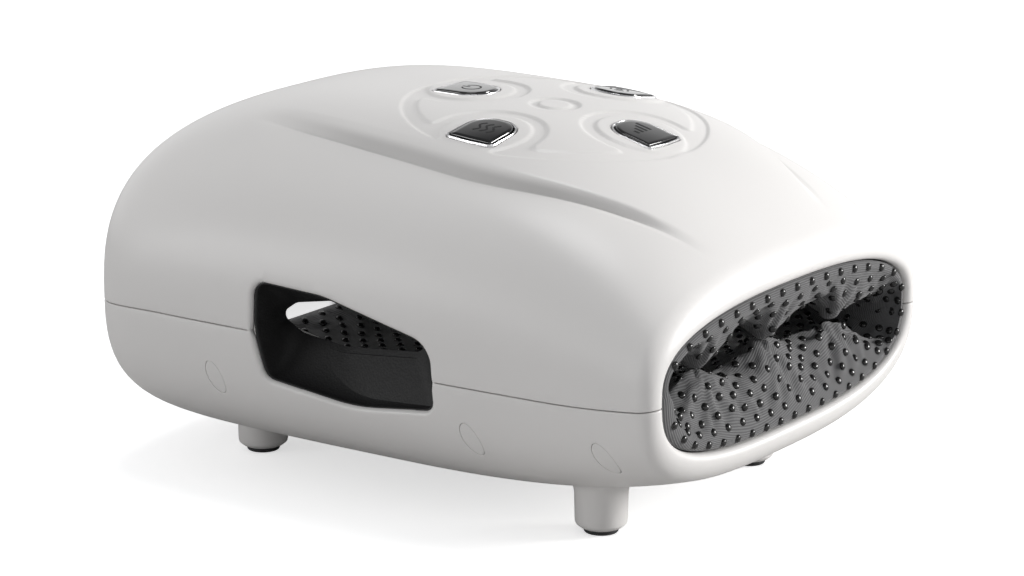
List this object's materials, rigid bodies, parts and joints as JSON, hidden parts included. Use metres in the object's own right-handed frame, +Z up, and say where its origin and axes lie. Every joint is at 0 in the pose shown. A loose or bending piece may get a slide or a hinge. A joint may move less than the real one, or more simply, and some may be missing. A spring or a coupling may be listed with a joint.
{
  "type": "hand massager",
  "caption": "Tabletop air-pressure hand massager: egg-shaped two-shell case on short legs, lined oval mouth for the hand, thumb opening in each side, push buttons on top.",
  "frame": {"origin": "on the table, under the middle of the case's length and width", "axes": "+X to the right seen from the mouth, -Y out of the mouth, +Z up"},
  "size_m": [0.1734, 0.2099, 0.1162],
  "materials": {
    "pearl_case": "satin pearl-white lacquered moulding",
    "foot_rubber": "matte black",
    "plated_steel": "zinc plated",
    "black_plastic": "matte black moulding",
    "inner_plastic": "plain off-white moulding",
    "liner_knit": "dark grey fine-ribbed knit with raised glossy black rubber dots",
    "amber_film": "amber polyimide film",
    "button_black": "high-gloss black with a printed grey symbol",
    "chrome_trim": "bright chrome plating",
    "circuit_board": "green solder mask",
    "battery_wrap": "blue shrink sleeve",
    "hose_rubber": "translucent silicone tube"
  },
  "bodies": {
    "case": {"upper_shell": "pearl_case", "lower_shell": "pearl_case", "leg_front_left": "pearl_case", "leg_front_right": "pearl_case", "leg_rear_left": "pearl_case", "leg_rear_right": "pearl_case", "screw_plug_left_front": "pearl_case", "screw_plug_left_middle": "pearl_case", "screw_plug_left_rear": "pearl_case", "screw_plug_right_front": "pearl_case", "screw_plug_right_middle": "pearl_case", "screw_plug_right_rear": "pearl_case", "foot_pad_front_left": "foot_rubber", "foot_pad_front_right": "foot_rubber", "foot_pad_rear_left": "foot_rubber", "foot_pad_rear_right": "foot_rubber", "case_screw_left_front": "plated_steel", "case_screw_left_middle": "plated_steel", "case_screw_left_rear": "plated_steel", "case_screw_right_front": "plated_steel", "case_screw_right_middle": "plated_steel", "case_screw_right_rear": "plated_steel", "thumb_duct_left": "black_plastic", "thumb_duct_right": "black_plastic", "mouth_ring": "black_plastic", "upper_tray": "inner_plastic", "lower_tray": "inner_plastic", "upper_cushion": "liner_knit", "lower_cushion": "liner_knit", "heating_film": "amber_film", "power_button_rim": "chrome_trim", "heat_button_rim": "chrome_trim", "level_button_rim": "chrome_trim", "mode_button_rim": "chrome_trim", "button_board": "circuit_board", "power_switch": "black_plastic", "heat_switch": "black_plastic", "level_switch": "black_plastic", "mode_switch": "black_plastic", "rear_bulkhead": "inner_plastic", "main_board": "circuit_board", "battery_pack": "battery_wrap", "pump_motor": "plated_steel", "pump_head": "black_plastic", "air_manifold": "inner_plastic", "upper_valve_body": "plated_steel", "lower_valve_body": "plated_steel", "supply_hose": "hose_rubber", "upper_air_hose": "hose_rubber", "lower_air_hose": "hose_rubber", "charging_socket": "plated_steel"},
    "power_button": {"power_button": "button_black"},
    "heat_button": {"heat_button": "button_black"},
    "level_button": {"level_button": "button_black"},
    "mode_button": {"mode_button": "button_black"},
    "pump_rotor": {"pump_rotor": "plated_steel"},
    "upper_valve_plunger": {"upper_valve_plunger": "plated_steel"},
    "lower_valve_plunger": {"lower_valve_plunger": "plated_steel"}
  },
  "joints": [
    {"name": "power_button_press", "type": "slide", "parent": "case", "child": "power_button", "axis": [0, -0.0005, -1], "range_m": [0, 0.0007], "stiffness_N_per_m": 1200, "springref_m": -0.0004},
    {"name": "heat_button_press", "type": "slide", "parent": "case", "child": "heat_button", "axis": [0.1646, 0.0643, -0.9843], "range_m": [0, 0.0007], "stiffness_N_per_m": 1200, "springref_m": -0.0004},
    {"name": "level_button_press", "type": "slide", "parent": "case", "child": "level_button", "axis": [0, 0.2438, -0.9698], "range_m": [0, 0.0007], "stiffness_N_per_m": 1200, "springref_m": -0.0004},
    {"name": "mode_button_press", "type": "slide", "parent": "case", "child": "mode_button", "axis": [-0.1646, 0.0643, -0.9843], "range_m": [0, 0.0007], "stiffness_N_per_m": 1200, "springref_m": -0.0004},
    {"name": "pump_rotor_spin", "type": "hinge", "parent": "case", "child": "pump_rotor", "pos_m": [-0.021, 0.0693, 0.0512], "axis": [1, 0, 0], "continuous": true},
    {"name": "upper_valve_stroke", "type": "slide", "parent": "case", "child": "upper_valve_plunger", "axis": [0, -1, 0], "range_m": [0, 0.001], "stiffness_N_per_m": 400, "springref_m": -0.001},
    {"name": "lower_valve_stroke", "type": "slide", "parent": "case", "child": "lower_valve_plunger", "axis": [0, -1, 0], "range_m": [0, 0.001], "stiffness_N_per_m": 400, "springref_m": -0.001}
  ]
}
